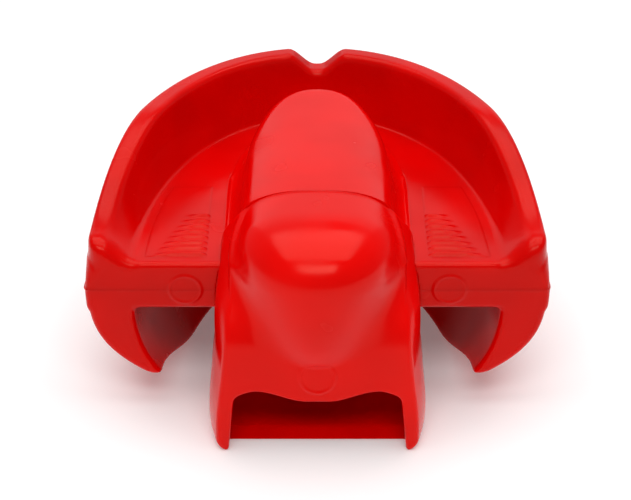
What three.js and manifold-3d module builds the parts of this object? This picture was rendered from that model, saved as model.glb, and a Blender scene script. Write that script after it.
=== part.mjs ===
// A double mouthguard: an upper and a lower tray of soft elastomer, bonded back to back along the
// parting plane, four ribbed bite pads let into the bite plate, and a breathing duct in two mouldings
// that runs from a hole at the front, under the palate dome, to an outlet behind the tongue.
//
// Millimetres. The trays are drawn from the plane of their two rear ends (y = 0) and from the parting
// plane (z = 0): +x is the wearer's side to side, +y the front of the mouth, +z up. The last group
// lifts the guard so that it stands on z = 0 with its box centred on the origin.

import * as THREE from 'three';
import { mergeVertices } from 'three/addons/utils/BufferGeometryUtils.js';
import Module from 'manifold-3d';

// ---- Driving dimensions ----

// The arch is half a slightly squared ellipse in plan. Insets are measured inwards from its outer line.
const ARCH_HALF_WIDTH = 32;
const ARCH_DEPTH = 49.8;
const ARCH_SQUARENESS = 2.12;
const ARCH_STEPS = 72;
const PLAN_STEPS = 48;

const FLOOR_TOP = 4.2;
const FLOOR_BOTTOM = -3.2;
const FLOOR_INSET = 7;
const FLOOR_LAP = 1;
const WALL_FOOT_INSET = 6.6;
const WALL_FOOT_FILLET = { up: 1.1, wallSide: 0.5, floorSide: 0.6 };

const UPPER_RIM = { rear: 7.3, front: 14.4, riseFrom: 2, riseTo: 28 };
const UPPER_RIM_INNER_INSET = { rear: 3.1, front: 4.7 };
const UPPER_WALL_LEAN = 1.3;
const RIM_ROUND = 0.9;
// Where the upper wall's section turns, in shares of its lean and of the rim's rounding.
const UPPER_TURN = {
  floorLean: 0.2, shoulderLean: 0.7, shoulderDrop: 2, outerDrop: 0.5, innerIn: 0.5, innerDrop: 0.1 };

const FRENUM_NOTCH = { depth: 3.2, bottomHalf: 1.2, topHalf: 4 };

const LOWER_RIM = { rear: -14, front: -20, dropFrom: 0, dropTo: 20 };
const LOWER_RIM_OUTER_INSET = 8.6;
const LOWER_RIM_INNER_INSET = 10.8;
const LOWER_WALL_POWER = 2.6;
const LOWER_WALL_LEVELS = [0.3, 0.5, 0.68, 0.84, 0.94];

// The duct block stands in the middle of the trays. Its two mouldings meet on the seam plane, and its
// stem passes down through the bite plate, as far forward as the breathing hole's inner end.
const SEAM_Y = 5;
const TIP_CENTRE_Y = 16;
const TIP_SQUARENESS = 2.4;
const FIT_GAP = 0.3;
const STEM = { half: 12.9, front: 27, lap: 0.4 };
const DOME_LEVELS = [
  { z: FLOOR_TOP, half: 14.4, tip: 40.2 },
  { z: 4.9, half: 12.6, tip: 39.2 },
  { z: 6.2, half: 11.5, tip: 38.6 },
  { z: 8.0, half: 10.7, tip: 38.0 },
  { z: 9.8, half: 10.0, tip: 37.5 },
  { z: 11.0, half: 9.0, tip: 36.9 },
  { z: 12.2, half: 6.8, tip: 35.6 },
  { z: 12.9, half: 4.0, tip: 33.0 },
];

// The rear cover's plinth, by level: half width at the seam, half width and place of its rear face.
const COVER_LEVELS = [
  { z: -20, seamHalf: 14.4, rearHalf: 13.2, rear: -9.9 },
  { z: -18.6, seamHalf: 15.0, rearHalf: 13.8, rear: -10.2 },
  { z: -11, seamHalf: 14.6, rearHalf: 13.4, rear: -9.8 },
  { z: -3, seamHalf: 14.3, rearHalf: 12.7, rear: -8.7 },
  { z: 0, seamHalf: 13.9, rearHalf: 12.2, rear: -7.5 },
  { z: 3, seamHalf: 13.2, rearHalf: 11.5, rear: -4.5 },
  { z: 5, seamHalf: 12.5, rearHalf: 11.1, rear: -1.6 },
  { z: 6.6, seamHalf: 11.8, rearHalf: 10.9, rear: 0.9 },
  { z: 8, seamHalf: 11.1, rearHalf: 10.8, rear: 3.2 },
];
const COVER_CORNER = 1.6;
const CORNER_STEPS = 4;

// The bulge on the rear cover, by level: it runs back from the seam to a rounded nose.
const NOSE_CENTRE_Y = -0.5;
const NOSE_SQUARENESS = 2;
const NOSE_LEVELS = [
  { z: -6, half: 1.6, tip: -8.6 },
  { z: -4, half: 4.4, tip: -10.0 },
  { z: -1.3, half: 6.4, tip: -10.9 },
  { z: 0.7, half: 7.8, tip: -11.3 },
  { z: 3, half: 9.7, tip: -11.7 },
  { z: 4.8, half: 10.8, tip: -11.8 },
  { z: 6.5, half: 11.1, tip: -11.8 },
  { z: 8.4, half: 10.8, tip: -11.1 },
  { z: 10, half: 9.8, tip: -9.8 },
  { z: 11.4, half: 7.6, tip: -7.4 },
  { z: 12.4, half: 5.0, tip: -4.4 },
  { z: 12.9, half: 2.6, tip: -2.2 },
];

// The hollow follows the outer levels between these places in their lists: it leaves out the dome's
// flared foot and the ends that are too narrow for two walls.
const DUCT_WALL = 2.2;
const HOLLOW_LEVELS = { dome: [3, -1], cover: [0, -2], nose: [2, -2] };
const SCOOP = { rear: -20, front: FLOOR_BOTTOM, riseFrom: -2, riseTo: 26 };
const SCOOP_FLOOR = { rear: -19, front: -2 };
const SCOOP_STEPS = 14;
const OUTLET = {
  half: 11.4, bottomHalf: 12, bottom: SCOOP_FLOOR.rear, sideTop: -10.4, middleTop: -12,
  corner: 1.6, depth: 12, lipY: -8.4, curveSegments: 8 };
const AIR_HOLE = { half: 6, bottom: -2, top: 2.8, corner: 1.6, curveSegments: 4 };

const PAD_DEPTH = 1.2;
const PAD = { wallInset: 7.6, innerHalf: 15.2, innerTip: 42, rear: 1.4, front: 22 };
const RIB = { pitch: 1.5, width: 0.75, height: 0.35, first: 2.2, count: 9, sideClear: 0.5 };

// A cutting body reaches FAR where it must clear the whole guard, and OVERRUN past a face it cuts.
const FAR = 60;
const OVERRUN = 1;
const WELD_DISTANCE = 1e-4;

const COLOURS = { tray: 0xd2121a, pad: 0xd80f10, duct: 0xe23028 };
const ROUGHNESS = { tray: 0.3, pad: 0.4, duct: 0.3 };

// ---- Small helpers ----

const wasm = await Module();
wasm.setup();

const mix = THREE.MathUtils.lerp;
const smooth = (value, from, to) => THREE.MathUtils.smoothstep(value, from, to);

function signedVolume(positions, triangles) {
  const [a, b, c] = [new THREE.Vector3(), new THREE.Vector3(), new THREE.Vector3()];
  let sum = 0;
  for (let i = 0; i < triangles.length; i += 3) {
    a.fromArray(positions, 3 * triangles[i]);
    b.fromArray(positions, 3 * triangles[i + 1]);
    c.fromArray(positions, 3 * triangles[i + 2]);
    sum += a.dot(b.cross(c));
  }
  return sum / 6;
}

// A closed geometry as a solid, turned the right way out.
function solid(geometry) {
  const bare = geometry.clone();
  bare.deleteAttribute('normal');
  bare.deleteAttribute('uv');
  const merged = mergeVertices(bare, WELD_DISTANCE);
  const vertProperties = Float32Array.from(merged.attributes.position.array);
  const triVerts = Uint32Array.from(merged.index.array);
  if (signedVolume(vertProperties, triVerts) < 0) triVerts.reverse();
  return new wasm.Manifold(new wasm.Mesh({ numProp: 3, vertProperties, triVerts }));
}

// A closed loft through rings of equally many points, with a flat cap on each end.
function loft(rings) {
  const count = rings[0].length;
  const positions = rings.flat().flatMap((p) => [p.x, p.y, p.z]);
  const index = [];
  for (let r = 0; r + 1 < rings.length; r++) {
    for (let i = 0; i < count; i++) {
      const j = (i + 1) % count;
      const [a, b, c, d] = [r * count + i, r * count + j, (r + 1) * count + j, (r + 1) * count + i];
      index.push(a, b, c, a, c, d);
    }
  }
  const cap = (ring, start, ascending) => {
    const upright = ring.every((p) => p.y === ring[0].y);
    const flat = ring.map((p) => new THREE.Vector2(p.x, upright ? p.z : p.y));
    const turn = Math.sign(THREE.ShapeUtils.area(flat));
    for (const face of THREE.ShapeUtils.triangulateShape(flat, [])) {
      const same = Math.sign(THREE.ShapeUtils.area(face.map((i) => flat[i]))) === turn;
      const corners = face.map((i) => start + i);
      index.push(...(same === ascending ? corners : corners.reverse()));
    }
  };
  cap(rings[0], 0, false);
  cap(rings[rings.length - 1], (rings.length - 1) * count, true);
  const geometry = new THREE.BufferGeometry();
  geometry.setAttribute('position', new THREE.Float32BufferAttribute(positions, 3));
  geometry.setIndex(index);
  return solid(geometry);
}

// A plan shape, extruded from one height to another.
function prism(shape, bottom, top) {
  const geometry = new THREE.ExtrudeGeometry(shape, { depth: top - bottom, bevelEnabled: false });
  geometry.translate(0, 0, bottom);
  return solid(geometry);
}

// A shape drawn in y and z, extruded across the guard.
function crosswise(points, half) {
  const shape = new THREE.Shape(points.map(([y, z]) => new THREE.Vector2(y, z)));
  const geometry = new THREE.ExtrudeGeometry(shape, { depth: 2 * half, bevelEnabled: false });
  geometry.translate(0, 0, -half);
  geometry.applyMatrix4(new THREE.Matrix4().makeBasis(
    new THREE.Vector3(0, 1, 0), new THREE.Vector3(0, 0, 1), new THREE.Vector3(1, 0, 0)));
  return solid(geometry);
}

function box(low, high) {
  const geometry = new THREE.BoxGeometry(...high.map((v, i) => v - low[i]));
  geometry.translate(...high.map((v, i) => (v + low[i]) / 2));
  return solid(geometry);
}

// ---- The arch ----

// A point of a squared ellipse, as shares of its two half axes.
function squaredEllipse(angle, squareness) {
  const part = (value) => Math.sign(value) * Math.abs(value) ** (2 / squareness);
  return [part(Math.cos(angle)), part(Math.sin(angle))];
}

function archPoint(angle, inset, z) {
  const [across, forward] = squaredEllipse(angle, ARCH_SQUARENESS);
  return new THREE.Vector3((ARCH_HALF_WIDTH - inset) * across, (ARCH_DEPTH - inset) * forward, z);
}

// A wall swept round the arch; section(x, y) gives its corners there as [inset, z].
function archWall(section) {
  const rings = [];
  for (let step = 0; step <= ARCH_STEPS; step++) {
    const angle = Math.PI * step / ARCH_STEPS;
    const on = archPoint(angle, 0, 0);
    rings.push(section(on.x, on.y).map(([inset, z]) => archPoint(angle, inset, z)));
  }
  rings[0].forEach((p) => p.setY(0));
  rings[ARCH_STEPS].forEach((p) => p.setY(0));
  return loft(rings);
}

function archShape(inset) {
  const points = Array.from({ length: PLAN_STEPS + 1 },
    (_, i) => archPoint(Math.PI * i / PLAN_STEPS, inset, 0));
  points[0].setY(0);
  points[PLAN_STEPS].setY(0);
  return new THREE.Shape(points.map((p) => new THREE.Vector2(p.x, p.y)));
}

function upperRimHeight(x, y) {
  const rise = smooth(y, UPPER_RIM.riseFrom, UPPER_RIM.riseTo);
  const atFront = y > ARCH_DEPTH / 2;
  const notch = atFront ? 1 - smooth(Math.abs(x), FRENUM_NOTCH.bottomHalf, FRENUM_NOTCH.topHalf) : 0;
  return mix(UPPER_RIM.rear, UPPER_RIM.front, rise) - FRENUM_NOTCH.depth * notch;
}

function upperSection(x, y) {
  const rim = upperRimHeight(x, y);
  const inner = mix(UPPER_RIM_INNER_INSET.rear, UPPER_RIM_INNER_INSET.front, smooth(y, 0, UPPER_RIM.riseTo));
  return [
    [0, 0],
    [UPPER_TURN.floorLean * UPPER_WALL_LEAN, FLOOR_TOP],
    [UPPER_TURN.shoulderLean * UPPER_WALL_LEAN, rim - UPPER_TURN.shoulderDrop * RIM_ROUND],
    [UPPER_WALL_LEAN, rim - UPPER_TURN.outerDrop * RIM_ROUND],
    [UPPER_WALL_LEAN + RIM_ROUND, rim],
    [inner - UPPER_TURN.innerIn * RIM_ROUND, rim - UPPER_TURN.innerDrop * RIM_ROUND],
    [inner, rim - RIM_ROUND],
    [WALL_FOOT_INSET - WALL_FOOT_FILLET.wallSide, FLOOR_TOP + WALL_FOOT_FILLET.up],
    [WALL_FOOT_INSET + WALL_FOOT_FILLET.floorSide, FLOOR_TOP],
    [FLOOR_INSET + FLOOR_LAP, FLOOR_TOP],
    [FLOOR_INSET + FLOOR_LAP, 0],
  ];
}

function lowerRimHeight(y) {
  return mix(LOWER_RIM.rear, LOWER_RIM.front, smooth(y, LOWER_RIM.dropFrom, LOWER_RIM.dropTo));
}

function lowerSection(x, y) {
  const rim = lowerRimHeight(y);
  const outer = (level) => LOWER_RIM_OUTER_INSET * level ** LOWER_WALL_POWER;
  const inner = (level) => mix(WALL_FOOT_INSET, LOWER_RIM_INNER_INSET, level ** LOWER_WALL_POWER);
  return [
    [0, 0],
    ...LOWER_WALL_LEVELS.map((level) => [outer(level), level * rim]),
    [outer(1), rim],
    [inner(1), rim],
    ...LOWER_WALL_LEVELS.map((level) => [inner(level), level * rim]).reverse(),
    [FLOOR_INSET + FLOOR_LAP, FLOOR_BOTTOM],
    [FLOOR_INSET + FLOOR_LAP, 0],
  ];
}

// ---- The duct block ----

const TONGUE_STEPS = 20;

// A tongue outline: straight sides from one line, then half a squared ellipse to the tip.
function tongueRing({ z, half, tip }, from = SEAM_Y, centre = TIP_CENTRE_Y, squareness = TIP_SQUARENESS) {
  const ring = [new THREE.Vector3(half, from, z)];
  for (let i = 0; i <= TONGUE_STEPS; i++) {
    const [across, forward] = squaredEllipse(Math.PI * i / TONGUE_STEPS, squareness);
    ring.push(new THREE.Vector3(half * across, centre + (tip - centre) * forward, z));
  }
  ring.push(new THREE.Vector3(-half, from, z));
  return ring;
}

// The rear cover's outline at one level: it narrows to the rear and has rounded rear corners.
function coverRing({ z, seamHalf, rearHalf, rear }, inset = 0) {
  const half = rearHalf - inset;
  const back = rear + inset;
  const corner = Math.min(COVER_CORNER, (SEAM_Y - back) / 2);
  const right = [new THREE.Vector3(seamHalf - inset, SEAM_Y, z)];
  for (let i = 0; i <= CORNER_STEPS; i++) {
    const angle = -Math.PI / 2 * i / CORNER_STEPS;
    right.push(new THREE.Vector3(
      half - corner + corner * Math.cos(angle), back + corner + corner * Math.sin(angle), z));
  }
  const left = right.map((p) => new THREE.Vector3(-p.x, p.y, z)).reverse();
  return [...right, ...left];
}

const scoopCurve = (ends, lift = 0) => Array.from({ length: SCOOP_STEPS + 1 }, (_, i) => {
  const y = mix(SCOOP.riseFrom, SCOOP.riseTo, i / SCOOP_STEPS);
  return [y, mix(ends.rear, ends.front, smooth(y, SCOOP.riseFrom, SCOOP.riseTo)) + lift];
});

const aboveScoop = (ends) => crosswise([
  [-FAR, ends.rear], ...scoopCurve(ends), [FAR, ends.front], [FAR, FAR], [-FAR, FAR]], FAR);

const noseRing = (level) => tongueRing(level, SEAM_Y, NOSE_CENTRE_Y, NOSE_SQUARENESS);

// A level of the dome or the nose, drawn in by the duct's wall on every side.
const drawnIn = ({ z, half, tip }, centre) => ({
  z: z - DUCT_WALL, half: half - DUCT_WALL, tip: tip + DUCT_WALL * Math.sign(centre - tip) });

// Space inside the duct: the block's own shape drawn in by the wall thickness. The stem is open at the
// front, where the breathing hole in the bite plate meets it.
function ductSpace() {
  const inner = STEM.half - DUCT_WALL;
  const stem = box([-inner, SEAM_Y, SCOOP.rear], [inner, STEM.front + FIT_GAP, FLOOR_TOP - STEM.lap]);
  const domeLevels = DOME_LEVELS.slice(...HOLLOW_LEVELS.dome);
  const [foot, ...above] = domeLevels.map((level) => drawnIn(level, TIP_CENTRE_Y));
  const front = loft([{ ...foot, z: FLOOR_TOP - OVERRUN }, foot, ...above].map((level) => tongueRing(level)));
  const [lowest, ...upper] = COVER_LEVELS.slice(...HOLLOW_LEVELS.cover);
  const plinth = loft([lowest, ...upper.map((level) => ({ ...level, z: level.z - DUCT_WALL / 2 }))]
    .map((level) => coverRing(level, DUCT_WALL)));
  const noseLevels = NOSE_LEVELS.slice(...HOLLOW_LEVELS.nose).map((level) => drawnIn(level, NOSE_CENTRE_Y));
  const rear = plinth.add(loft(noseLevels.map(noseRing)));
  const bridgeHalf = above[0].half;
  const seamBridge = box(
    [-bridgeHalf, SEAM_Y - OVERRUN, SCOOP_FLOOR.rear], [bridgeHalf, SEAM_Y + OVERRUN, above[0].z]);
  return front.add(stem).add(rear).add(seamBridge).intersect(aboveScoop(SCOOP_FLOOR));
}

// The outlet under the rear cover, with its wavy upper edge.
function outlet() {
  const shape = new THREE.Shape();
  const { half, bottomHalf, bottom, sideTop, middleTop, corner, depth, lipY, curveSegments } = OUTLET;
  shape.moveTo(-bottomHalf, bottom);
  shape.lineTo(bottomHalf, bottom);
  shape.lineTo(half, sideTop - corner);
  shape.quadraticCurveTo(half, sideTop, half - corner, sideTop);
  const swell = half / 2;
  shape.bezierCurveTo(swell, sideTop, swell, middleTop, 0, middleTop);
  shape.bezierCurveTo(-swell, middleTop, -swell, sideTop, -half + corner, sideTop);
  shape.quadraticCurveTo(-half, sideTop, -half, sideTop - corner);
  shape.closePath();
  const geometry = new THREE.ExtrudeGeometry(shape, { depth, bevelEnabled: false, curveSegments });
  geometry.rotateX(Math.PI / 2);
  geometry.translate(0, COVER_LEVELS[0].rear + depth / 2, 0);
  const behindLip = box([-bottomHalf, -FAR, SCOOP.rear - OVERRUN], [bottomHalf, lipY, bottom + OVERRUN]);
  return solid(geometry).add(behindLip);
}

// The breathing hole, from the front of the trays into the duct.
function airHole() {
  const { half, bottom, top, corner, curveSegments } = AIR_HOLE;
  const shape = new THREE.Shape();
  shape.moveTo(-half + corner, bottom);
  shape.lineTo(half - corner, bottom);
  shape.quadraticCurveTo(half, bottom, half, bottom + corner);
  shape.lineTo(half, top - corner);
  shape.quadraticCurveTo(half, top, half - corner, top);
  shape.lineTo(-half + corner, top);
  shape.quadraticCurveTo(-half, top, -half, top - corner);
  shape.lineTo(-half, bottom + corner);
  shape.quadraticCurveTo(-half, bottom, -half + corner, bottom);
  const geometry = new THREE.ExtrudeGeometry(shape, { depth: FAR, bevelEnabled: false, curveSegments });
  geometry.rotateX(Math.PI / 2);
  geometry.translate(0, STEM.front - OVERRUN + FAR, 0);
  return solid(geometry);
}

// What the trays leave free in the middle for the duct block.
function ductClearance() {
  const half = STEM.half + FIT_GAP;
  const stem = box([-half, -OVERRUN, -FAR], [half, STEM.front + FIT_GAP, FAR]);
  const coverHalf = Math.max(...COVER_LEVELS.map((level) => level.seamHalf)) + FIT_GAP;
  return stem.add(box([-coverHalf, -FAR, -FAR], [coverHalf, SEAM_Y + FIT_GAP, FAR]));
}

function airDuctDome() {
  const cap = loft(DOME_LEVELS.map((level) => tongueRing(level)));
  const stem = box([-STEM.half, SEAM_Y, SCOOP.rear], [STEM.half, STEM.front, FLOOR_TOP + STEM.lap]);
  return cap.add(stem.intersect(aboveScoop(SCOOP))).subtract(ductSpace());
}

function airDuctHood() {
  const plinth = loft(COVER_LEVELS.map((level) => coverRing(level)));
  const bulge = loft(NOSE_LEVELS.map(noseRing));
  return plinth.add(bulge).intersect(aboveScoop(SCOOP)).subtract(ductSpace()).subtract(outlet());
}

// ---- Bite pads ----

// One pad's outline on the bite plate, between the wall and the duct; grow widens it for its pocket.
function padPrism(side, bottom, top, grow) {
  const arch = prism(archShape(PAD.wallInset - grow), bottom, top);
  const duct = loft([bottom, top].map((z) => tongueRing({
    z, half: PAD.innerHalf - grow, tip: PAD.innerTip - grow }, -OVERRUN)));
  const [near, far] = [OVERRUN, ARCH_HALF_WIDTH];
  const low = [side > 0 ? near : -far, PAD.rear - grow, bottom];
  const high = [side > 0 ? far : -near, PAD.front + grow, top];
  return arch.subtract(duct).intersect(box(low, high));
}

// face is 1 for the pads above the bite plate and -1 for those below it.
function bitePad(side, face) {
  const surface = face > 0 ? FLOOR_TOP : FLOOR_BOTTOM;
  const heights = [surface, surface - face * PAD_DEPTH].sort((a, b) => a - b);
  let pad = padPrism(side, ...heights, 0);
  const ribTop = surface + face * RIB.height;
  const ribHeights = [surface - face * PAD_DEPTH / 2, ribTop].sort((a, b) => a - b);
  const ribArea = padPrism(side, ...ribHeights, -RIB.sideClear);
  for (let i = 0; i < RIB.count; i++) {
    const y = RIB.first + i * RIB.pitch;
    pad = pad.add(ribArea.intersect(box(
      [-ARCH_HALF_WIDTH, y, ribHeights[0]], [ARCH_HALF_WIDTH, y + RIB.width, ribHeights[1]])));
  }
  return pad;
}

function padPockets(face) {
  const surface = face > 0 ? FLOOR_TOP : FLOOR_BOTTOM;
  const heights = [surface + face * OVERRUN, surface - face * PAD_DEPTH].sort((a, b) => a - b);
  return padPrism(1, ...heights, FIT_GAP).add(padPrism(-1, ...heights, FIT_GAP));
}

// ---- Trays ----

function upperTray() {
  const floor = prism(archShape(FLOOR_INSET), 0, FLOOR_TOP);
  return archWall(upperSection).add(floor)
    .subtract(ductClearance()).subtract(padPockets(1)).subtract(airHole());
}

function lowerTray() {
  const floor = prism(archShape(FLOOR_INSET), FLOOR_BOTTOM, 0);
  return archWall(lowerSection).add(floor)
    .subtract(ductClearance()).subtract(padPockets(-1)).subtract(airHole());
}

// ---- Assembly ----

// One named piece, in the colour and roughness of its kind.
function piece(name, manifold, kind) {
  const { vertProperties, triVerts } = manifold.getMesh();
  const geometry = new THREE.BufferGeometry();
  geometry.setAttribute('position', new THREE.BufferAttribute(Float32Array.from(vertProperties), 3));
  geometry.setIndex(new THREE.BufferAttribute(Uint32Array.from(triVerts), 1));
  geometry.computeVertexNormals();
  const material = new THREE.MeshStandardMaterial({
    color: COLOURS[kind], roughness: ROUGHNESS[kind], metalness: 0 });
  const made = new THREE.Mesh(geometry, material);
  made.name = name;
  return made;
}

const guard = new THREE.Group();
guard.add(piece('upper_tray', upperTray(), 'tray'));
guard.add(piece('lower_tray', lowerTray(), 'tray'));
guard.add(piece('air_duct_dome', airDuctDome(), 'duct'));
guard.add(piece('air_duct_hood', airDuctHood(), 'duct'));
for (const [sideName, side] of [['left', -1], ['right', 1]]) {
  guard.add(piece(`upper_bite_pad_${sideName}`, bitePad(side, 1), 'pad'));
  guard.add(piece(`lower_bite_pad_${sideName}`, bitePad(side, -1), 'pad'));
}

const extent = new THREE.Box3().setFromObject(guard, true);
const middle = extent.getCenter(new THREE.Vector3());
guard.position.set(0, -middle.y, -extent.min.z);

const root = new THREE.Group();
root.add(guard);

export default root;
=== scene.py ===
"""A double mouthguard in glossy red elastomer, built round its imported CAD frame.

Each CAD node is replaced by a fine moulding of the same shape. A moulding is the zero surface of a field,
written in millimetres in the tray's own axes: x from side to side, y forward from the two rear ends,
z up from the parting plane. The field is sampled on a grid, meshed, and the mesh is drawn onto the surface.
"""

import math

import bmesh
import bpy
import numpy as np
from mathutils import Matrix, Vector


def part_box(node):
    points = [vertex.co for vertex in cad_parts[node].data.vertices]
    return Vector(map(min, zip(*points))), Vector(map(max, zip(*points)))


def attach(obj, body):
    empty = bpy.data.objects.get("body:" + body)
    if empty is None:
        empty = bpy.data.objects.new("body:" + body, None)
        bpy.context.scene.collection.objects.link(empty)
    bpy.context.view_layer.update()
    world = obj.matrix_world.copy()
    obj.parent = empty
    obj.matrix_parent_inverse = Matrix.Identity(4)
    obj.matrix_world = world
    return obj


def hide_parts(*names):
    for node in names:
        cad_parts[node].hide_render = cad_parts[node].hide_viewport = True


MM = 0.001

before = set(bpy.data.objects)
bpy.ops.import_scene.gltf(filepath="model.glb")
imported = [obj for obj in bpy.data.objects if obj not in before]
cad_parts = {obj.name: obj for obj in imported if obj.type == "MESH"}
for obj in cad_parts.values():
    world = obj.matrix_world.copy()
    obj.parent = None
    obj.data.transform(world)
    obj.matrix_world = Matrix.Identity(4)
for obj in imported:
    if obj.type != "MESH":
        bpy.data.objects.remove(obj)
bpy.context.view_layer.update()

# The tray axes in the row frame: the rear ends' plane and the parting plane.
TRAY_ORIGIN = Vector((0.0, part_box("upper_tray")[0][1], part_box("upper_tray")[0][2]))

# ---- Driving dimensions, in millimetres ----

# A pair in brackets is a stretch along an axis, over which something changes from one value to the next.
ARCH_HALF_WIDTH, ARCH_DEPTH, ARCH_SQUARENESS = 32.0, 49.8, 2.12
FLOOR_TOP, FLOOR_BOTTOM = 4.2, -3.2
STAND_Z = -20.0

UPPER_RIM_REAR, UPPER_RIM_FRONT = 7.3, 14.4
UPPER_RIM_RISE = (2.0, 28.0)
UPPER_LEAN, UPPER_LEAN_POWER = 1.3, 1.5
WALL_FOOT = 6.4
RIM_INNER_REAR, RIM_INNER_FRONT = 2.6, 4.5
RIM_ROUND_REAR, RIM_ROUND_FRONT, RIM_ROUND_GROWS = 0.8, 1.0, (0.0, 20.0)
NOTCH_DEPTH, NOTCH_HALF, NOTCH_FRONT = 2.9, (0.3, 4.6), (20.0, 30.0)

LOWER_RIM_REAR, LOWER_RIM_FRONT = -14.5, -20.0
LOWER_RIM_DROP = (0.0, 20.0)
LOWER_OUTER_REAR, LOWER_OUTER_FRONT = 8.2, 9.3
LOWER_INNER_REAR, LOWER_INNER_FRONT = 10.0, 11.4
LOWER_WIDENS = (0.0, 18.0)
LOWER_POWER = 3.0

# The walls' curves are carried on below the bite plate and past the rims, by these shares of a height.
BELOW_FOOT, PAST_RIM = -0.2, 1.3
WALL_ROUND, LOWER_ROUND, PLATE_ROUND = 0.5, 0.6, 0.6
UPPER_FILLET, LOWER_FILLET = 0.6, 1.2
ARM_EDGE_UPPER, ARM_EDGE_LOWER, WALL_END_ROUND = 0.9, 1.0, 3.2
WALL_END_X, WALL_END_Z = (24.0, 28.0), (0.3, 4.5)

FLASH_HEIGHT, FLASH_HALF, FLASH_MEAN, REAR_FLASH_SHARE = 0.12, 0.25, 0.75, 0.4
FLASH_WAVES = ((0.25, 0.9, 0.4), (0.2, 0.31, -0.7))
PIN_X, PIN_Z, PIN_RADIUS, PIN_HEIGHT = 18.3, 0.1, 2.2, 0.14
PIN_RING_HALF, PIN_DISC_SHARE, PIN_DISC_EDGE = 0.25, 0.4, (-0.25, 0.15)

SEAM_Y, SEAM_GAP, SEAM_LIP, SEAM_LIP_HALF = 5.0, 0.01, 0.1, 0.4
TIP_CENTRE_Y, TIP_SQUARENESS = 16.0, 2.4
DOME_TOP, DOME_DROP, DOME_DROP_END = 13.0, 0.5, 36.0
DOME_HALF, DOME_TIP, DOME_WIDEST_AT = 10.2, 38.9, 10.0
DOME_FLARE, DOME_TIP_FLARE = 0.22, 0.16
DOME_ARCH, DOME_ARCH_POWER = 2.5, 3.0
DOME_EDGE_REAR, DOME_EDGE_TIP, DOME_EDGE_GROWS = 0.9, 2.2, (20.0, 38.0)
FOOT_HALF, FOOT_TIP, FOOT_SINK, FOOT_FILLET = 13.5, 41.0, 0.05, 2.4
FOOT_DRAW, FOOT_DRAW_LENGTH = 0.2, 5.0
DOME_FACE_DROP, DOME_FACE_ROUND = 0.5, 0.05
STEM_HALF, STEM_FRONT, STEM_CORNER, STEM_FOOT_ROUND = 12.9, 27.0, 4.0, 0.5

COVER_TOP = 13.1
COVER_HALF, COVER_ARCH_Z, COVER_ARCH_RISE, COVER_ARCH_POWER = 14.2, -4.0, 17.2, 2.5
COVER_FLARE, COVER_FLARE_DEPTH = 1.1, (4.0, 17.0)
COVER_LOW = (-8.0, 2.0)
DRAW_LOW, DRAW_MIDDLE, DRAW_HIGH, DRAW_HIGH_FROM = 1.4, 1.95, 0.3, (5.0, 10.0)
DRAW_LENGTH_LOW, DRAW_LENGTH_HIGH = 7.0, 4.5
REAR_Y, REAR_LEAN, REAR_LEAN_FROM = -10.3, 1.3, (-18.0, 2.0)
REAR_SLOPE, REAR_TURN_Z, REAR_TURN = 1.65, 0.9, 2.2
REAR_CORNER, COVER_TOP_ROUND, COVER_EDGE_ROUND = 0.5, 0.6, 0.3
PLATE_PIN_Z, PLATE_PIN_RADIUS = -8.0, 2.4
LEG_CHAMFER_X, LEG_CHAMFER_ROUND = 13.1, 0.5

NOSE_Y, NOSE_Z = -0.5, 6.0
NOSE_HALF_WIDTH, NOSE_REACH = 11.0, 11.3
NOSE_UP, NOSE_DOWN = 7.0, 13.0
NOSE_SIDE_POWER, NOSE_BACK_POWER = 2.5, 2.2
NOSE_LOWER_WIDTH, NOSE_LOWER_REACH = (1.35, 0.62), (3.2, 0.31)
BLEND_LOW, BLEND_HIGH, BLEND_FADES = 4.6, 0.6, (6.0, 12.0)

SCOOP_RISE = (-2.0, 26.0)
DUCT_WALL, HOLLOW_REAR_Z, HOLLOW_FRONT_Z = 2.2, -19.0, -2.0
HOLLOW_LAP, HOLLOW_ROUND, HOLLOW_BLEND, HOLLOW_FLOOR_ROUND = 0.4, 0.2, 0.3, 0.8
HOLLOW_STEM_FILLET, CUT_ROUND = 0.5, 0.4
OUTLET_HALF, OUTLET_SPREAD, OUTLET_MIDDLE_Z = 11.4, 0.1, -11.0
OUTLET_EDGE, OUTLET_RISE, OUTLET_RISE_X = -12.0, 1.6, (1.5, 8.5)
OUTLET_FALL, OUTLET_FALL_X, OUTLET_CORNER, OUTLET_ROUND = 0.7, (8.5, 11.5), 1.3, 0.5
LIP_Y, LIP_SLOPE, LIP_BACK_Y, LIP_CUT_Z = -8.4, 2.4, -8.6, -20.4
AIR_HOLE_HALF, AIR_HOLE_LOW, AIR_HOLE_HIGH, AIR_HOLE_CORNER = 6.0, -2.0, 2.8, 1.8
AIR_HOLE_LAP, AIR_HOLE_END_ROUND, AIR_HOLE_ROUND = 1.0, 0.2, 0.8

# The trays clear the stem by a little, and reach just into the rear cover, to which they are bonded.
STEM_CLEARANCE, COVER_LAP = 0.15, 0.05
CRISP, FIT_ROUND = 0.1, 0.12

PAD_REAR, PAD_FRONT, PAD_INNER, PAD_WALL_INSET = 1.4, 22.0, 14.9, 7.6
PAD_DEPTH, PAD_LAP, PAD_SKIN, PAD_CORE_SHARE = 1.2, 1.1, 0.35, 0.18
PAD_EDGE, PAD_RAISED, PAD_EDGE_FROM = -0.06, 0.04, (0.1, 0.8)
POCKET_WALL_INSET, POCKET_END_ROUND, POCKET_ROUND, POCKET_CLEARANCE = 7.4, 0.2, 0.3, 0.1
RIB_PITCH, RIB_FIRST, RIB_COUNT, RIB_HEIGHT, RIB_SHARPNESS = 1.5, 2.4, 8, 0.5, 2.0
RIB_INNER_END, RIB_OUTER_REAR, RIB_OUTER_FRONT, RIB_FADE = (0.2, 1.5), 24.0, 19.0, 3.5

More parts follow.
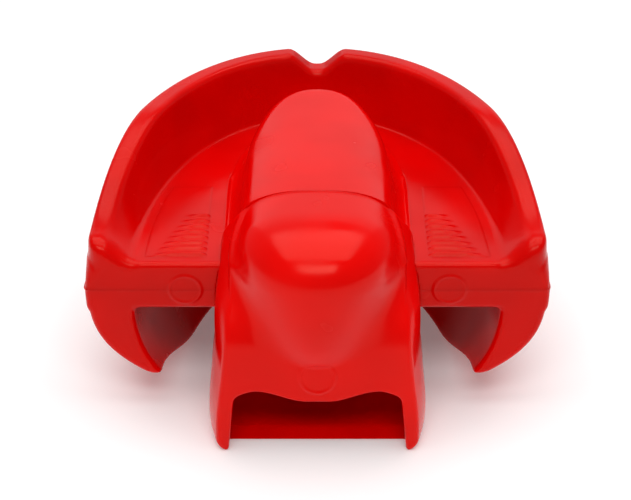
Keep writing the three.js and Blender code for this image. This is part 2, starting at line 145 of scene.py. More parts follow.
TRAY_SPACING, DUCT_SPACING, QUICK_COARSENING = 0.36, 0.3, 1.7
PAD_ROWS, PAD_COLUMNS = 160, 60

# A field that rises faster than distance does is brought back by a share.
FLANGE_SHARE, DOME_TOP_SHARE, COVER_SIDE_SHARE = 0.9, 0.85, 0.95
# Limits and small amounts that keep powers and quotients clear of zero.
ARCH_LIMIT, NOSE_LIMIT, NOSE_TINY, TINY, TINY_LENGTH = 0.999, 0.9999, 1e-4, 1e-6, 1e-9
# How near the cut a point counts as on it, and how often a mesh is evened out and drawn on.
CUT_TOLERANCE, MESH_ROUNDS = 1e-3, 2
Y_AXIS, Z_AXIS = 1, 2

# ---- Fields: negative inside the material ----


def step(value, low, high):
    t = np.clip((value - low) / (high - low), 0.0, 1.0)
    return t * t * (3.0 - 2.0 * t)


def mix(a, b, t):
    return a + (b - a) * t


def join(a, b, radius):
    """The union of two fields, with a fillet."""
    h = np.clip(0.5 + 0.5 * (b - a) / radius, 0.0, 1.0)
    return mix(b, a, h) - radius * h * (1.0 - h)


def both(a, b, radius):
    """The intersection of two fields, with a rounded edge."""
    return -join(-a, -b, radius)


def ellipse(x, y, half_x, half_y, squareness):
    """About the distance from an ellipse, or from a squared one."""
    u = np.abs(x) / half_x + TINY
    v = np.abs(y) / half_y + TINY
    total = u**squareness + v**squareness
    k = total ** (1.0 / squareness)
    slope = total ** (1.0 / squareness - 1.0)
    across = slope * u ** (squareness - 1.0) / half_x
    along = slope * v ** (squareness - 1.0) / half_y
    return (k - 1.0) / np.sqrt(across**2 + along**2)


def arch_inset(x, y):
    return -ellipse(x, np.maximum(y, 0.0), ARCH_HALF_WIDTH, ARCH_DEPTH, ARCH_SQUARENESS)


def upper_rim(x, y):
    notch = 1.0 - step(np.abs(x), *NOTCH_HALF)
    notch = notch * step(y, *NOTCH_FRONT)
    return mix(UPPER_RIM_REAR, UPPER_RIM_FRONT, step(y, *UPPER_RIM_RISE)) - NOTCH_DEPTH * notch


def lower_rim(y):
    return mix(LOWER_RIM_REAR, LOWER_RIM_FRONT, step(y, *LOWER_RIM_DROP))


def lower_share(y, z):
    """How far down the lower wall a point lies, as a share of its height there."""
    return np.clip(z / lower_rim(y), 0.0, PAST_RIM)


def outer_inset(y, z):
    """How far the outer surface has leaned in from the arch line at a height."""
    above = UPPER_LEAN * (np.maximum(z, 0.0) / UPPER_RIM_FRONT) ** UPPER_LEAN_POWER
    below = mix(LOWER_OUTER_REAR, LOWER_OUTER_FRONT, step(y, *LOWER_WIDENS))
    return above + below * lower_share(y, z) ** LOWER_POWER


def flash(x, y, z):
    """The thin uneven ridge that the mould leaves along the parting plane."""
    uneven = FLASH_MEAN
    for height, across, along in FLASH_WAVES:
        uneven = uneven + height * np.sin(across * x + along * y)
    return FLASH_HEIGHT * uneven * np.exp(-(z / FLASH_HALF) ** 2)


def outer_side(x, y, z):
    slope = LOWER_OUTER_REAR * LOWER_POWER / -LOWER_RIM_FRONT * lower_share(y, z) ** (LOWER_POWER - 1.0)
    lean = (outer_inset(y, z) - arch_inset(x, y)) / np.sqrt(1.0 + slope**2)
    return lean - flash(x, y, z)


def pin_mark(across, up, radius):
    """The height of an ejector pin's print: a raised ring round a slightly raised disc."""
    out = np.sqrt(across**2 + up**2) - radius
    disc = PIN_DISC_SHARE * (1.0 - step(out, *PIN_DISC_EDGE))
    return PIN_HEIGHT * (disc + np.exp(-(out / PIN_RING_HALF) ** 2))


def rear_end(x, y, z):
    """The flat rear ends of the arms, with their pin marks and the parting line."""
    return -y - REAR_FLASH_SHARE * flash(x, y, z) - pin_mark(np.abs(x) - PIN_X, z - PIN_Z, PIN_RADIUS)


def upper_wall(x, y, z):
    rim = upper_rim(x, y)
    rim_inner = mix(RIM_INNER_REAR, RIM_INNER_FRONT, step(y, 0.0, UPPER_RIM_RISE[1]))
    rise = np.clip((z - FLOOR_TOP) / (rim - FLOOR_TOP), BELOW_FOOT, PAST_RIM)
    inner = arch_inset(x, y) - mix(WALL_FOOT, rim_inner, rise)
    sides = both(outer_side(x, y, z), inner, WALL_ROUND)
    return both(sides, z - rim, mix(RIM_ROUND_REAR, RIM_ROUND_FRONT, step(y, *RIM_ROUND_GROWS)))


def lower_wall(x, y, z):
    lip = mix(LOWER_INNER_REAR, LOWER_INNER_FRONT, step(y, *LOWER_WIDENS))
    inner = arch_inset(x, y) - mix(WALL_FOOT, lip, lower_share(y, z) ** LOWER_POWER)
    sides = both(outer_side(x, y, z), inner * FLANGE_SHARE, LOWER_ROUND)
    return both(sides, lower_rim(y) - z, LOWER_ROUND)


def plate(x, y, z, face):
    """The bite plate's half above the parting plane (face 1) or below it (face -1)."""
    surface = FLOOR_TOP if face > 0 else FLOOR_BOTTOM
    return both((z - surface) * face, outer_side(x, y, z), PLATE_ROUND)


# ---- The duct ----


def dome_top(x, y):
    """Height of the palate dome's upper surface: arched across, lower towards its front tip."""
    arch = DOME_ARCH * (np.abs(x) / DOME_HALF) ** DOME_ARCH_POWER
    return DOME_TOP - DOME_DROP * step(y, SEAM_Y, DOME_DROP_END) - arch


def tongue(x, y, half, tip):
    """A tongue-shaped outline: straight sides, then half a squared ellipse to the tip."""
    return ellipse(x, np.maximum(y - TIP_CENTRE_Y, 0.0), half, tip - TIP_CENTRE_Y, TIP_SQUARENESS)


def dome(x, y, z):
    down = DOME_WIDEST_AT - z
    side = tongue(x, y, DOME_HALF + DOME_FLARE * down, DOME_TIP + DOME_TIP_FLARE * down)
    edge = mix(DOME_EDGE_REAR, DOME_EDGE_TIP, step(y, *DOME_EDGE_GROWS))
    return both(side, (z - dome_top(x, y)) * DOME_TOP_SHARE, edge)


def cover_rear(z):
    """Where the cover's rear face lies at a height: near upright below, sloping forward above."""
    upright = REAR_Y + REAR_LEAN * step(z, *REAR_LEAN_FROM)
    return upright + REAR_SLOPE * REAR_TURN * np.log1p(np.exp((z - REAR_TURN_Z) / REAR_TURN))


def cover_half(y, z):
    """Half width of the rear cover: an arch at the seam, drawn in close to the rear face."""
    up = np.clip((z - COVER_ARCH_Z) / COVER_ARCH_RISE, 0.0, ARCH_LIMIT)
    arch = COVER_HALF * (1.0 - up**COVER_ARCH_POWER) ** (1.0 / COVER_ARCH_POWER)
    arch = arch + COVER_FLARE * step(-z, *COVER_FLARE_DEPTH)
    above = step(z, *COVER_LOW)
    draw = mix(DRAW_LOW, mix(DRAW_MIDDLE, DRAW_HIGH, step(z, *DRAW_HIGH_FROM)), above)
    ahead = np.maximum(y - cover_rear(z), 0.0) / mix(DRAW_LENGTH_LOW, DRAW_LENGTH_HIGH, above)
    return arch - draw * (1.0 - np.clip(ahead, 0.0, 1.0)) ** 2


def plinth(x, y, z):
    """The rear cover without its bulge."""
    side = (np.abs(x) - cover_half(y, z)) * COVER_SIDE_SHARE
    slope = REAR_SLOPE / (1.0 + np.exp(-(z - REAR_TURN_Z) / REAR_TURN))
    rear = (cover_rear(z) - y) / np.sqrt(1.0 + slope**2) - pin_mark(x, z - PLATE_PIN_Z, PLATE_PIN_RADIUS)
    return both(both(side, rear, REAR_CORNER), z - COVER_TOP, COVER_TOP_ROUND)


def bulge(x, y, z):
    """The rear cover's bulge, which runs back from the seam to a rounded nose."""
    up = np.maximum((z - NOSE_Z) / NOSE_UP, 0.0)
    down = np.clip((NOSE_Z - z) / NOSE_DOWN, 0.0, NOSE_LIMIT)

    def narrowed(full, power, root):
        return full * (1.0 - down**power) ** root

    half = narrowed(NOSE_HALF_WIDTH, *NOSE_LOWER_WIDTH)
    reach = narrowed(NOSE_REACH, *NOSE_LOWER_REACH)
    back = np.minimum(y - NOSE_Y, 0.0)
    across = np.sqrt(x**2 + back**2) + NOSE_TINY
    share = np.sqrt((x / half) ** 2 + (back / reach) ** 2) + NOSE_TINY / NOSE_HALF_WIDTH
    power = mix(NOSE_SIDE_POWER, NOSE_BACK_POWER, (back / reach / share) ** 2)
    total = share**power + up**power
    slope = total ** (1.0 / power - 1.0)
    outward = slope * share**power / across
    upward = slope * up ** (power - 1.0) / NOSE_UP
    return (total ** (1.0 / power) - 1.0) / np.sqrt(outward**2 + upward**2)


def scoop(y, rear, front):
    """Height of the duct's curved underside, or of the floor inside it."""
    return mix(rear, front, step(y, *SCOOP_RISE))


def cover(x, y, z):
    lip = SEAM_LIP * np.exp(-((SEAM_Y - y) / SEAM_LIP_HALF) ** 2)
    blend = mix(BLEND_LOW, BLEND_HIGH, step(z, *BLEND_FADES))
    return join(plinth(x, y, z), bulge(x, y, z), blend) - lip


# ---- Meshing ----


def surface_net(field, xs, ys, zs):
    """Vertices and quads of a field's zero surface on a grid of the given lines."""
    x, y, z = np.meshgrid(xs, ys, zs, indexing="ij")
    values = field(x, y, z).astype(np.float32)
    inside = values < 0.0
    corners = [(i, j, k) for i in (0, 1) for j in (0, 1) for k in (0, 1)]
    n = np.array(values.shape) - 1

    def cell_corner(array, c):
        return array[c[0]:c[0] + n[0], c[1]:c[1] + n[1], c[2]:c[2] + n[2]]

    count = sum(cell_corner(inside, c).astype(np.int8) for c in corners)
    active = np.argwhere((count > 0) & (count < 8))
    ids = np.full(tuple(n), -1, np.int64)
    ids[tuple(active.T)] = np.arange(len(active))

    lines = (xs, ys, zs)
    total = np.zeros((len(active), 3))
    hits = np.zeros(len(active))
    for axis in range(3):
        others = [a for a in range(3) if a != axis]
        for u in (0, 1):
            for v in (0, 1):
                low = active.copy()
                low[:, others[0]] += u
                low[:, others[1]] += v
                high = low.copy()
                high[:, axis] += 1
                a = values[tuple(low.T)]
                b = values[tuple(high.T)]
                cross = (a < 0.0) != (b < 0.0)
                t = np.where(cross, a / np.where(cross, a - b, 1.0), 0.0)
                for w in range(3):
                    place = lines[w][low[:, w]]
                    if w == axis:
                        place = place + t * (lines[w][high[:, w]] - place)
                    total[:, w] += np.where(cross, place, 0.0)
                hits += cross
    points = total / hits[:, None]

    quads = []
    for axis in range(3):
        b_axis, c_axis = [(1, 2), (2, 0), (0, 1)][axis]
        low = [slice(1, -1)] * 3
        low[axis] = slice(0, -1)
        high = list(low)
        high[axis] = slice(1, None)
        a, b = inside[tuple(low)], inside[tuple(high)]
        for flip in (False, True):
            where = np.argwhere((a & ~b) if not flip else (~a & b))
            offset = np.ones(3, int)
            offset[axis] = 0
            where = where + offset
            around = []
            for db, dc in ((-1, -1), (0, -1), (0, 0), (-1, 0)):
                cell = where.copy()
                cell[:, b_axis] += db
                cell[:, c_axis] += dc
                around.append(ids[tuple(cell.T)])
            quad = np.stack(around, axis=1)
            quads.append(quad[:, ::-1] if flip else quad)
    return points, np.concatenate(quads)


def gradient(field, p, reach=0.02):
    """A field's slope at points, along the three axes."""
    columns = []
    for axis in range(3):
        ahead, behind = p.copy(), p.copy()
        ahead[:, axis] += reach
        behind[:, axis] -= reach
        columns.append((field(*ahead.T) - field(*behind.T)) / (2.0 * reach))
    return np.stack(columns, axis=1)


def draw_onto(field, p, rounds=3, limit=0.25, least_slope=0.05):
    """Moves points onto the field's zero surface, by at most a limit in each round."""
    for _ in range(rounds):
        value = field(*p.T)
        slope = gradient(field, p)
        move = -(value / np.maximum((slope**2).sum(1), least_slope))[:, None] * slope
        length = np.linalg.norm(move, axis=1, keepdims=True)
        p = p + move * np.minimum(1.0, limit / np.maximum(length, TINY_LENGTH))
    return p


def relax(p, quads, rounds=2, share=0.5):
    """Evens out the spacing of a quad mesh's points."""
    for _ in range(rounds):
        centre = p[quads].mean(axis=1)
        total = np.zeros_like(p)
        hits = np.zeros(len(p))
        for corner in range(4):
            np.add.at(total, quads[:, corner], centre)
            np.add.at(hits, quads[:, corner], 1.0)
        p = mix(p, total / hits[:, None], share)
    return p


def lines(low, high, spacing, fine):
    """Grid lines along one axis, closer together round the places in fine: (place, half width, spacing)."""
    made = np.linspace(low, high, int(math.ceil((high - low) / spacing)) + 1)
    for place, half, close in fine:
        made = made[np.abs(made - place) > half + 0.5 * close]
        made = np.append(made, np.linspace(place - half, place + half, int(round(2.0 * half / close)) + 1))
    return np.sort(made)


def cut_across(mesh, axis, place, keep):
    """Cuts a mesh square across at a place on an axis, keeps one side (1 or -1) and closes the cut."""
    work = bmesh.new()
    work.from_mesh(mesh)
    normal = Vector((0.0, 0.0, 0.0))
    normal[axis] = -keep
    point = Vector((0.0, 0.0, 0.0))
    point[axis] = place * MM + TRAY_ORIGIN[axis]
    geometry = work.verts[:] + work.edges[:] + work.faces[:]
    bmesh.ops.bisect_plane(work, geom=geometry, plane_co=point, plane_no=normal, clear_outer=True)
    rims = [edge for edge in work.edges if edge.is_boundary]
    for edge in rims:
        edge.smooth = False
    bmesh.ops.triangle_fill(work, use_beauty=True, use_dissolve=False, edges=rims, normal=normal)
    work.to_mesh(mesh)
    work.free()


def true_normals(mesh, field, cut):
    """Shades a mesh by its field's own slope, and a cut face flat."""
    points = np.empty(len(mesh.vertices) * 3)
    mesh.vertices.foreach_get("co", points)
    points = (points.reshape(-1, 3) - np.array(TRAY_ORIGIN)) / MM
    slope = gradient(field, points)
    slope /= np.maximum(np.linalg.norm(slope, axis=1, keepdims=True), TINY_LENGTH)
    corner_vertex = np.empty(len(mesh.loops), np.int32)
    mesh.loops.foreach_get("vertex_index", corner_vertex)
    normals = slope[corner_vertex]
    if cut:
        axis, place, keep = cut
        on_cut = np.abs(points[:, axis] - place) < CUT_TOLERANCE
        sizes = np.empty(len(mesh.polygons), np.int32)
        mesh.polygons.foreach_get("loop_total", sizes)
        face_of_corner = np.repeat(np.arange(len(sizes)), sizes)
        hits = np.bincount(face_of_corner, on_cut[corner_vertex])
        flat = (hits == sizes)[face_of_corner]
        normals[flat] = -keep * np.eye(3)[axis]
    mesh.normals_split_custom_set(normals.tolist())


def new_piece(name, points, faces):
    """An object in the row frame from points in the tray's axes."""
    mesh = bpy.data.meshes.new(name)
    row = points * MM + np.array(TRAY_ORIGIN)
    mesh.from_pydata(row.tolist(), [], faces)
    mesh.polygons.foreach_set("use_smooth", np.ones(len(faces), bool))
    mesh.update()
    piece = bpy.data.objects.new(name, mesh)
    bpy.context.scene.collection.objects.link(piece)
    return piece


def moulding(name, field, low, high, spacing, fine=((), (), ()), cut=None):
    """Meshes one field as an object in the row frame."""
    xs, ys, zs = (lines(*ends, spacing, close) for *ends, close in zip(low, high, fine))
    points, quads = surface_net(field, xs, ys, zs)
    for _ in range(MESH_ROUNDS):
        points = relax(points, quads)
        points = draw_onto(field, points)
    piece = new_piece(name, points, quads.tolist())
    if cut:
        cut_across(piece.data, *cut)
    true_normals(piece.data, field, cut)
    return piece


# ---- Pieces ----


def duct_room(x, y, z):
    """What the trays leave free for the duct block."""
    stem = both(np.abs(x) - STEM_HALF - STEM_CLEARANCE, y - STEM_FRONT - STEM_CLEARANCE, STEM_CORNER)
    stem = both(stem, SEAM_Y - STEM_CLEARANCE - y, CRISP)
    behind_seam = both(np.abs(x) - cover_half(y, z) + COVER_LAP, y - SEAM_Y - STEM_CLEARANCE, CRISP)
    return join(stem, behind_seam, CRISP)


def air_hole(x, y, z):
    """The breathing hole, which runs forward from the stem."""
    middle = (AIR_HOLE_LOW + AIR_HOLE_HIGH) / 2.0
    half_z = (AIR_HOLE_HIGH - AIR_HOLE_LOW) / 2.0 - AIR_HOLE_CORNER
    dx = np.maximum(np.abs(x) - (AIR_HOLE_HALF - AIR_HOLE_CORNER), 0.0)
    dz = np.maximum(np.abs(z - middle) - half_z, 0.0)
    return both(np.sqrt(dx**2 + dz**2) - AIR_HOLE_CORNER, STEM_FRONT - AIR_HOLE_LAP - y, AIR_HOLE_END_ROUND)


def pocket(x, y, z, surface, face):
    """The pockets for both pads of a face, smaller all round than the pads' skins."""
    arch = POCKET_WALL_INSET + PAD_LAP - arch_inset(x, y)
    duct = PAD_INNER + PAD_LAP - np.abs(x)
    ends = both(PAD_REAR + PAD_LAP - y, y - PAD_FRONT + PAD_LAP, POCKET_END_ROUND)
    plan = both(both(arch, duct, POCKET_ROUND), ends, POCKET_ROUND)
    depth = (z - surface) * face
    return both(plan, np.abs(depth) - PAD_DEPTH - POCKET_CLEARANCE, CRISP)


def upper_tray(x, y, z):
    body = join(upper_wall(x, y, z), plate(x, y, z, 1), UPPER_FILLET)
    wall_end = step(np.abs(x), *WALL_END_X) * step(z, *WALL_END_Z)
    body = both(body, rear_end(x, y, z), mix(ARM_EDGE_UPPER, WALL_END_ROUND, wall_end))
    body = both(body, -duct_room(x, y, z), FIT_ROUND)
    body = both(body, -pocket(x, y, z, FLOOR_TOP, 1), CRISP)
    return both(body, -air_hole(x, y, z), AIR_HOLE_ROUND)


def lower_tray(x, y, z):
    body = join(lower_wall(x, y, z), plate(x, y, z, -1), LOWER_FILLET)
    body = both(body, rear_end(x, y, z), ARM_EDGE_LOWER)
    body = both(body, -duct_room(x, y, z), FIT_ROUND)
    body = both(body, -pocket(x, y, z, FLOOR_BOTTOM, -1), CRISP)
    return both(body, -air_hole(x, y, z), AIR_HOLE_ROUND)


def duct_hollow(x, y, z):
    """Space inside the duct, from the scoop's floor up."""
    rear = both(cover(x, y, z) + DUCT_WALL, y - SEAM_Y - HOLLOW_LAP, HOLLOW_ROUND)
    stem = both(np.abs(x) - STEM_HALF, z - FLOOR_TOP, HOLLOW_ROUND)
    front = join(dome(x, y, z), stem, HOLLOW_STEM_FILLET) + DUCT_WALL
    front = both(front, SEAM_Y - HOLLOW_LAP - y, HOLLOW_ROUND)
    floor_height = scoop(y, HOLLOW_REAR_Z, HOLLOW_FRONT_Z)
    return both(join(rear, front, HOLLOW_BLEND), floor_height - z, HOLLOW_FLOOR_ROUND)


def outlet(x, y, z):
    """The opening under the rear cover, with its wavy upper edge and the sloped back lip of its floor."""
    edge = OUTLET_EDGE + OUTLET_RISE * step(np.abs(x), *OUTLET_RISE_X)
    edge = edge - OUTLET_FALL * step(np.abs(x), *OUTLET_FALL_X)
    half = OUTLET_HALF - OUTLET_SPREAD * (z - OUTLET_MIDDLE_Z)
    frame_edge = both(np.abs(x) - half, z - edge, OUTLET_CORNER)
    lip = both(LIP_CUT_Z - z, y - LIP_Y - LIP_SLOPE * (z - STAND_Z), CRISP)
    behind_lip = both(frame_edge, y - LIP_BACK_Y, CRISP)
    return join(both(frame_edge, lip, CRISP), behind_lip, HOLLOW_ROUND)


def air_duct_hood(x, y, z):
    foot = scoop(y, STAND_Z, FLOOR_BOTTOM)
    solid = both(cover(x, y, z), foot - z, COVER_EDGE_ROUND)
    chamfer = (np.abs(x) - LEG_CHAMFER_X + foot - z) / math.sqrt(2.0)
    solid = both(solid, chamfer, LEG_CHAMFER_ROUND)
    solid = both(solid, y - SEAM_Y + SEAM_GAP, COVER_EDGE_ROUND)
    solid = both(solid, -duct_hollow(x, y, z), CUT_ROUND)
    return both(solid, -outlet(x, y, z), OUTLET_ROUND)


def air_duct_dome(x, y, z):
    foot_side = tongue(x, y, FOOT_HALF, FOOT_TIP)
    foot_side = foot_side + FOOT_DRAW * (1.0 - step(y, SEAM_Y, SEAM_Y + FOOT_DRAW_LENGTH))
    foot = both(foot_side, z - FLOOR_TOP + FOOT_SINK, CRISP)
    cap = both(join(dome(x, y, z), foot, FOOT_FILLET), FLOOR_TOP - DOME_FACE_DROP - z, DOME_FACE_ROUND)
    stem = both(np.abs(x) - STEM_HALF, y - STEM_FRONT, STEM_CORNER)
    stem = both(stem, z - FLOOR_TOP - CRISP, CRISP)
    stem = both(stem, scoop(y, STAND_Z, FLOOR_BOTTOM) - z, STEM_FOOT_ROUND)
    return both(join(cap, stem, CRISP), -duct_hollow(x, y, z), CUT_ROUND)


def pad_grid(side):
    """The pad's plan as a mapped grid: rows run across, from the duct's side to the wall's."""
    y = np.linspace(PAD_REAR, PAD_FRONT, PAD_ROWS)
    arch = ARCH_HALF_WIDTH * (1.0 - (y / ARCH_DEPTH) ** ARCH_SQUARENESS) ** (1.0 / ARCH_SQUARENESS)
    across = np.linspace(0.0, 1.0, PAD_COLUMNS)
    y, share = np.meshgrid(y, across, indexing="ij")
    return side * mix(PAD_INNER, arch[:, None] - PAD_WALL_INSET, share), y


def rib_height(x, y):
    """Fine ribs across the pad, which fade out towards the wall and sooner towards the front."""
    last = RIB_FIRST + (RIB_COUNT - 1.0) * RIB_PITCH
    wave = (0.5 + 0.5 * np.cos(2.0 * math.pi * (y - RIB_FIRST) / RIB_PITCH)) ** RIB_SHARPNESS
    run = step(y, RIB_FIRST - RIB_PITCH / 2.0, RIB_FIRST) * (1.0 - step(y, last, last + RIB_PITCH / 2.0))
    outer = mix(RIB_OUTER_REAR, RIB_OUTER_FRONT, np.clip(y / last, 0.0, 1.0))
    reach = step(np.abs(x) - PAD_INNER, *RIB_INNER_END) * (1.0 - step(np.abs(x), outer - RIB_FADE, outer))
    return RIB_HEIGHT * wave * run * reach


def bite_pad(name, side, face):
    """One pad: a ribbed skin that laps onto the bite plate, over a core that fills its pocket."""
    surface = FLOOR_TOP if face > 0 else FLOOR_BOTTOM
    x, y = pad_grid(side)
    rows, columns = x.shape
    from_ends = np.minimum(y - PAD_REAR, PAD_FRONT - y)
    from_sides = np.minimum(np.abs(x) - PAD_INNER, np.abs(x[:, -1:]) - np.abs(x))
    inwards = np.minimum(from_ends, from_sides)
    skin = mix(PAD_EDGE, PAD_RAISED, step(inwards, *PAD_EDGE_FROM)) + rib_height(x, y)

    def layer(height, shrink):
        """The grid at a height above the plate, drawn in towards the pad's middle."""
        plan_x = mix(x, x.mean(), shrink)
        plan_y = mix(y, 0.5 * (PAD_REAR + PAD_FRONT), shrink / 2.0)
        level = np.broadcast_to(surface + face * height, x.shape)
        return np.stack([plan_x, plan_y, level], axis=-1).reshape(-1, 3)

    layers = [layer(skin, 0.0), layer(-PAD_SKIN, 0.0)]
    layers += [layer(-PAD_SKIN, PAD_CORE_SHARE), layer(-PAD_DEPTH, PAD_CORE_SHARE)]
    count = rows * columns
    index = np.arange(count).reshape(rows, columns)
    edge = np.concatenate([index[0, :-1], index[:-1, -1], index[-1, :0:-1], index[:0:-1, 0]])
    cells = np.stack([index[:-1, :-1], index[:-1, 1:], index[1:, 1:], index[1:, :-1]], axis=-1).reshape(-1, 4)
    following = np.roll(edge, -1)
    faces = [cells, cells[:, ::-1] + 3 * count]
    for level in range(3):
        faces.append(np.stack([edge, edge + count, following + count, following], axis=-1) + level * count)
    faces = np.concatenate(faces)
    if side * face > 0:
        faces = faces[:, ::-1]
    used, faces = np.unique(faces, return_inverse=True)
    return new_piece(name, np.concatenate(layers)[used], faces.reshape(-1, 4).tolist())


# ---- Material ----

# Noise scales are in cycles per metre. A bump is how deep it is, in metres, and how strong.
CLOUD_SCALE, CLOUD_DETAIL, CLOUD_SPAN = 90.0, 1.5, (0.35, 0.65)
PATCH_SCALE, PATCH_DETAIL, PATCH_SPAN, PATCH_SEED = 160.0, 2.0, (0.3, 0.7), 3.0
WAVE_SCALE, WAVE_DETAIL, WAVE_BUMP, WAVE_SEED = 150.0, 1.0, (0.0002, 0.25), 6.0
GRAIN_SCALE, GRAIN_DETAIL, GRAIN_BUMP, GRAIN_SEED = 2600.0, 2.0, (0.00001, 0.15), 9.0
REFRACTION, SPECULAR_TINT = 1.5, (1.0, 0.5, 0.38, 1.0)
SCATTER_WEIGHT, SCATTER_RADIUS, SCATTER_SCALE = 0.3, (1.0, 0.05, 0.04), 0.0025


def noise(tree, scale, detail, place, seed):
    """A noise texture in the row frame; scale is in cycles per metre."""
    texture = tree.nodes.new("ShaderNodeTexNoise")
    texture.noise_dimensions = "4D"
    texture.inputs["Scale"].default_value = scale
    texture.inputs["Detail"].default_value = detail
    texture.inputs["W"].default_value = seed
    tree.links.new(place, texture.inputs["Vector"])
    return texture.outputs["Fac"]


def remap(tree, value, low, high, to_low, to_high):
    """Spreads a value between two others, with no kink where it stops at either end."""
    node = tree.nodes.new("ShaderNodeMapRange")
    node.interpolation_type = "SMOOTHSTEP"
    for socket, number in (("From Min", low), ("From Max", high), ("To Min", to_low), ("To Max", to_high)):
        node.inputs[socket].default_value = number
    tree.links.new(value, node.inputs["Value"])
    return node.outputs["Result"]


def bump(tree, height, distance, strength, under=None):
    node = tree.nodes.new("ShaderNodeBump")
    node.inputs["Distance"].default_value = distance
    node.inputs["Strength"].default_value = strength
    tree.links.new(height, node.inputs["Height"])
    if under is not None:
        tree.links.new(under, node.inputs["Normal"])
    return node.outputs["Normal"]


def elastomer(name, deep, bright, gloss, shine, seed):
    """Soft glossy elastomer: slightly cloudy red, with smooth and dull patches and a faint skin."""
    material = bpy.data.materials.new(name)
    material.use_nodes = True
    tree = material.node_tree
    shader = tree.nodes["Principled BSDF"]
    place = tree.nodes.new("ShaderNodeTexCoord").outputs["Object"]

    cloud = noise(tree, CLOUD_SCALE, CLOUD_DETAIL, place, seed)
    tint = tree.nodes.new("ShaderNodeMix")
    tint.data_type = "RGBA"
    tint.inputs["A"].default_value = (*deep, 1.0)
    tint.inputs["B"].default_value = (*bright, 1.0)
    tree.links.new(remap(tree, cloud, *CLOUD_SPAN, 0.0, 1.0), tint.inputs["Factor"])
    tree.links.new(tint.outputs["Result"], shader.inputs["Base Color"])

    patches = noise(tree, PATCH_SCALE, PATCH_DETAIL, place, seed + PATCH_SEED)
    tree.links.new(remap(tree, patches, *PATCH_SPAN, *gloss), shader.inputs["Roughness"])

    waves = noise(tree, WAVE_SCALE, WAVE_DETAIL, place, seed + WAVE_SEED)
    waves = bump(tree, waves, *WAVE_BUMP)
    grain = noise(tree, GRAIN_SCALE, GRAIN_DETAIL, place, seed + GRAIN_SEED)
    grain = bump(tree, grain, *GRAIN_BUMP, waves)
    tree.links.new(grain, shader.inputs["Normal"])

    shader.inputs["IOR"].default_value = REFRACTION
    shader.inputs["Specular IOR Level"].default_value = shine
    shader.inputs["Specular Tint"].default_value = SPECULAR_TINT
    shader.inputs["Subsurface Weight"].default_value = SCATTER_WEIGHT
    shader.inputs["Subsurface Radius"].default_value = SCATTER_RADIUS
    shader.inputs["Subsurface Scale"].default_value = SCATTER_SCALE
    return material


# Painted shade: the trays' and pads' red is set darker than the duct's, so the trays' rear faces and walls
# read as shaded; the elastomer itself is one red.
TRAY_RED_PAINTED_DARKER, DUCT_RED = ((0.61, 0.0, 0.0), (0.68, 0.0, 0.0)), ((0.75, 0.0, 0.0), (0.82, 0.0, 0.0))
MATERIALS = {
    "tray": elastomer("tray_elastomer", *TRAY_RED_PAINTED_DARKER, gloss=(0.14, 0.28), shine=0.24, seed=0.0),
    "duct": elastomer("duct_elastomer", *DUCT_RED, gloss=(0.13, 0.28), shine=0.3, seed=20.0),
    "bite_pad": elastomer("pad_elastomer", *TRAY_RED_PAINTED_DARKER, gloss=(0.14, 0.26), shine=0.24, seed=0.0),
}

# Stretches with closer grid lines: the place, half its length and the spacing there.
PARTING = (0.0, 2.7, 0.15)
SEAM = (SEAM_Y, 0.6, 0.12)
PIN_COLUMNS = ((-PIN_X, 2.7, 0.18), (PIN_X, 2.7, 0.18))
PLATE_PIN_COLUMN, PLATE_PIN_ROW = (0.0, 3.0, 0.15), (PLATE_PIN_Z, 3.0, 0.15)
TRAY_FINE = (PIN_COLUMNS, (), (PARTING,))
DOME_FINE = ((), (SEAM,), ())
HOOD_FINE = ((PLATE_PIN_COLUMN,), (SEAM,), (PLATE_PIN_ROW,))

# The low and the high corner of the grid round each moulding.
UPPER_TRAY_SPAN = (-33.0, -1.0, -0.9), (33.0, 50.6, 15.6)
LOWER_TRAY_SPAN = (-33.0, -1.0, -21.0), (33.0, 50.6, 0.9)
DOME_SPAN = (-15.5, 4.2, -20.6), (15.5, 41.5, 14.6)
HOOD_SPAN = (-16.4, -13.2, -21.0), (16.4, 6.2, 14.8)

# Each tray is cut square across just clear of the parting plane, and the dome just clear of the seam.
CUT_GAP = 0.005
UPPER_CUT, LOWER_CUT = (Z_AXIS, CUT_GAP, 1), (Z_AXIS, -CUT_GAP, -1)
DOME_CUT = (Y_AXIS, SEAM_Y + CUT_GAP, 1)
MOULDINGS = {
    "upper_tray": moulding("upper_tray_moulding", upper_tray, *UPPER_TRAY_SPAN, TRAY_SPACING, TRAY_FINE,
                           UPPER_CUT),
    "lower_tray": moulding("lower_tray_moulding", lower_tray, *LOWER_TRAY_SPAN, TRAY_SPACING, TRAY_FINE,
                           LOWER_CUT),
    "air_duct_dome": moulding("air_duct_dome_moulding", air_duct_dome, *DOME_SPAN, DUCT_SPACING,
                              DOME_FINE, DOME_CUT),
    "air_duct_hood": moulding("air_duct_hood_moulding", air_duct_hood, *HOOD_SPAN, DUCT_SPACING, HOOD_FINE),
}
for face_name, face in (("upper", 1), ("lower", -1)):
    for side_name, side in (("left", -1), ("right", 1)):
        node = f"{face_name}_bite_pad_{side_name}"
        MOULDINGS[node] = bite_pad(f"{node}_moulding", side, face)

for node, piece in MOULDINGS.items():
    slot = "bite_pad" if "bite_pad" in node else "tray" if "tray" in node else "duct"
    piece.data.materials.append(MATERIALS[slot])
    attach(piece, "root")
    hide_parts(node)

# ---- Floor, lights and camera ----

WHITE, FLOOR_COLOUR = (1.0, 1.0, 1.0, 1.0), (0.9, 0.9, 0.9, 1.0)
FLOOR_REACH, FLOOR_ROUGHNESS, FLOOR_GLOW, WORLD_STRENGTH = 3.0, 0.9, 0.15, 0.26


def area_light(name, place, target, size, power):
    light = bpy.data.lights.new(name, "AREA")
    light.shape = "RECTANGLE"
    light.size, light.size_y = size
    light.energy = power
    lamp = bpy.data.objects.new(name, light)
    lamp.location = place
    lamp.rotation_euler = (Vector(target) - Vector(place)).to_track_quat("-Z", "Y").to_euler()
    bpy.context.scene.collection.objects.link(lamp)


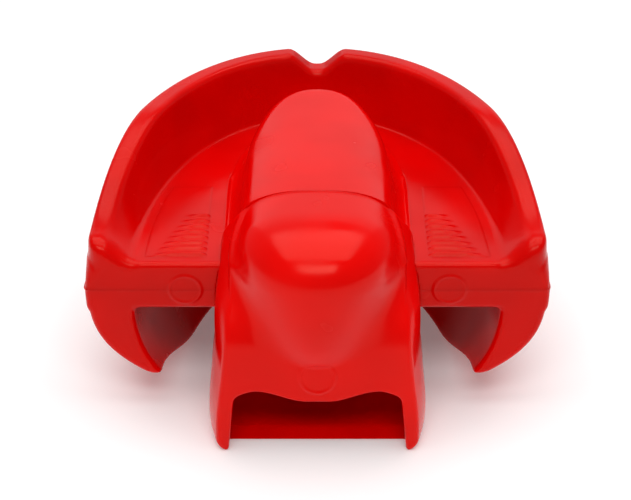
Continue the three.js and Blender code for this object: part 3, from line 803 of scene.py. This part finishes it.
def floor():
    mesh = bpy.data.meshes.new("floor")
    reach = FLOOR_REACH
    mesh.from_pydata([(-reach, -reach, 0), (reach, -reach, 0), (reach, reach, 0), (-reach, reach, 0)], [],
                     [(0, 1, 2, 3)])
    plane = bpy.data.objects.new("floor", mesh)
    bpy.context.scene.collection.objects.link(plane)
    material = bpy.data.materials.new("floor")
    material.use_nodes = True
    shader = material.node_tree.nodes["Principled BSDF"]
    shader.inputs["Base Color"].default_value = FLOOR_COLOUR
    shader.inputs["Roughness"].default_value = FLOOR_ROUGHNESS
    shader.inputs["Emission Color"].default_value = WHITE
    shader.inputs["Emission Strength"].default_value = FLOOR_GLOW
    plane.data.materials.append(material)


floor()

bpy.context.scene.view_settings.view_transform = "Standard"

world = bpy.data.worlds.new("studio")
world.use_nodes = True
world.node_tree.nodes["Background"].inputs["Color"].default_value = WHITE
world.node_tree.nodes["Background"].inputs["Strength"].default_value = WORLD_STRENGTH
bpy.context.scene.world = world

MIDDLE = (0.0, 0.0, 0.02)
area_light("top_softbox", (0.0, 0.06, 0.55), MIDDLE, size=(0.7, 0.5), power=2.5)
area_light("far_panel", (0.0, 0.75, 0.42), MIDDLE, size=(1.2, 0.5), power=1.0)
area_light("near_softbox", (0.0, -0.33, 0.45), MIDDLE, size=(0.38, 0.16), power=0.95)

# The photograph looks from behind at 33 degrees, from about four guard widths away.
VIEW_DISTANCE, VIEW_ELEVATION, AIM_UP = 0.240, math.radians(33.0), math.radians(1.32)
LENS_MM, SENSOR_MM, NEAR_CLIP, SIDE_OFFSET = 99.0, 36.0, 0.01, -0.00027

camera_data = bpy.data.cameras.new("camera")
camera_data.lens = LENS_MM
camera_data.sensor_width = SENSOR_MM
camera_data.clip_start = NEAR_CLIP
camera = bpy.data.objects.new("camera", camera_data)
back = Vector((0.0, -math.cos(VIEW_ELEVATION), math.sin(VIEW_ELEVATION)))
camera.location = TRAY_ORIGIN + back * VIEW_DISTANCE + Vector((SIDE_OFFSET, 0.0, 0.0))
camera.rotation_euler = (math.pi / 2 - VIEW_ELEVATION + AIM_UP, 0.0, 0.0)
bpy.context.scene.collection.objects.link(camera)
bpy.context.scene.camera = camera
